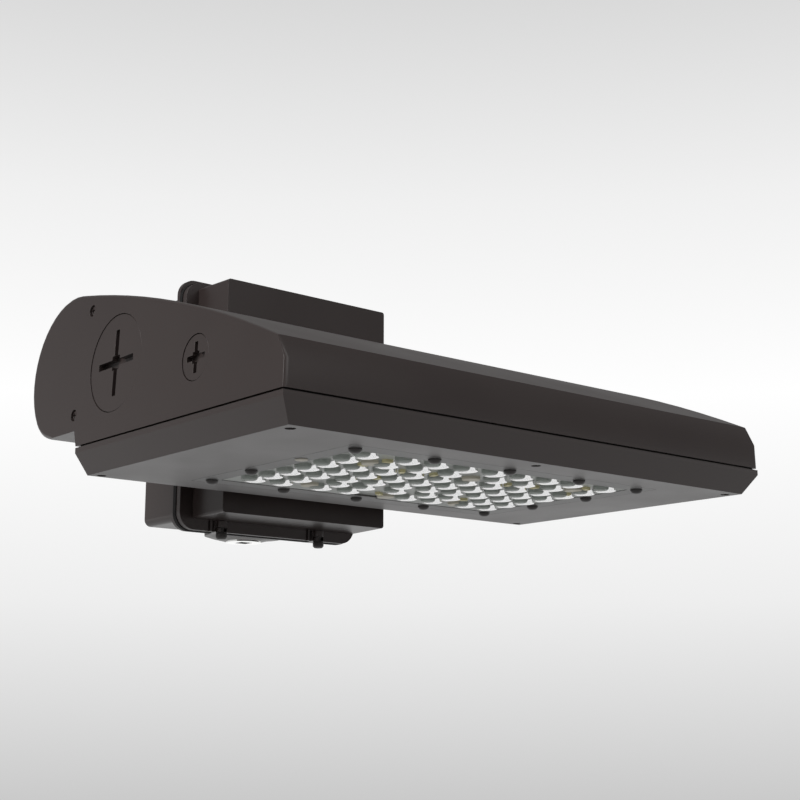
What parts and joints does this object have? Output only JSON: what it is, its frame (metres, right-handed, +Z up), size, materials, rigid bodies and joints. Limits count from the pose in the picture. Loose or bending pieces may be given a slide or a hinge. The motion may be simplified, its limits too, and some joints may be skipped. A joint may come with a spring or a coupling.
{
  "type": "led wall pack light",
  "caption": "Outdoor wall light: wide flat LED head with domed optics in its underside, on a stand-off box that hinges down from a cast wall box.",
  "frame": {"origin": "centre of the back box's rear face, on the wall", "axes": "+Y into the wall, +X along the head's width, +Z up; the head reaches out along -Y"},
  "size_m": [0.39, 0.3374, 0.1896],
  "materials": {
    "bronze_coat": "satin dark bronze powder coat",
    "door_coat": "satin dark bronze powder coat",
    "grey_bezel": "satin grey coat",
    "plug_zinc": "plain cast",
    "green_screw": "gloss",
    "zinc_steel": "zinc plated",
    "dark_screw": "black oxide",
    "galvanised_sheet": "galvanised",
    "bare_aluminium": "extruded",
    "black_rubber": "matt",
    "ivory_plastic": "matt",
    "white_board": "solder mask",
    "led_yellow": "phosphor",
    "tan_parts": "ceramic and moulded parts",
    "clear_optic": "clear moulded acrylic",
    "driver_case": "painted case, potted inside",
    "blue_plastic": "matt"
  },
  "bodies": {
    "wall_unit": {"back_box": "bronze_coat", "entry_plug": "plug_zinc", "ground_screw": "green_screw", "hinge_plate": "bronze_coat", "box_screws": "zinc_steel", "hinge_pin": "zinc_steel"},
    "fixture": {"plate_gasket": "black_rubber", "front_plate": "bronze_coat", "plate_screws": "zinc_steel", "lock_screws": "dark_screw", "mount_box": "bronze_coat", "supply_block": "ivory_plastic", "block_screws": "zinc_steel", "neck_gasket": "black_rubber", "wire_grommet": "black_rubber", "cradle_bracket": "galvanised_sheet", "head_bolts": "zinc_steel", "head_nuts": "zinc_steel", "upper_housing": "bronze_coat", "side_screws": "dark_screw", "big_plugs": "bronze_coat", "big_plug_rings": "black_rubber", "small_plugs": "bronze_coat", "small_plug_rings": "black_rubber", "door_frame": "door_coat", "door_gasket": "black_rubber", "door_screws": "dark_screw", "heat_plate": "bare_aluminium", "heat_plate_screws": "zinc_steel", "led_board": "white_board", "led_chips": "led_yellow", "board_parts": "tan_parts", "lens_gasket": "black_rubber", "lens_panel": "clear_optic", "lens_bezel": "grey_bezel", "lens_screws": "dark_screw", "gear_tray": "galvanised_sheet", "tray_screws": "zinc_steel", "led_driver": "driver_case", "driver_screws": "zinc_steel", "surge_protector": "blue_plastic"}
  },
  "joints": [
    {"name": "top_hinge", "type": "hinge", "parent": "wall_unit", "child": "fixture", "pos_m": [0, -0.04975, 0.0907], "axis": [-1, 0, 0], "range_deg": [0, 90]}
  ]
}
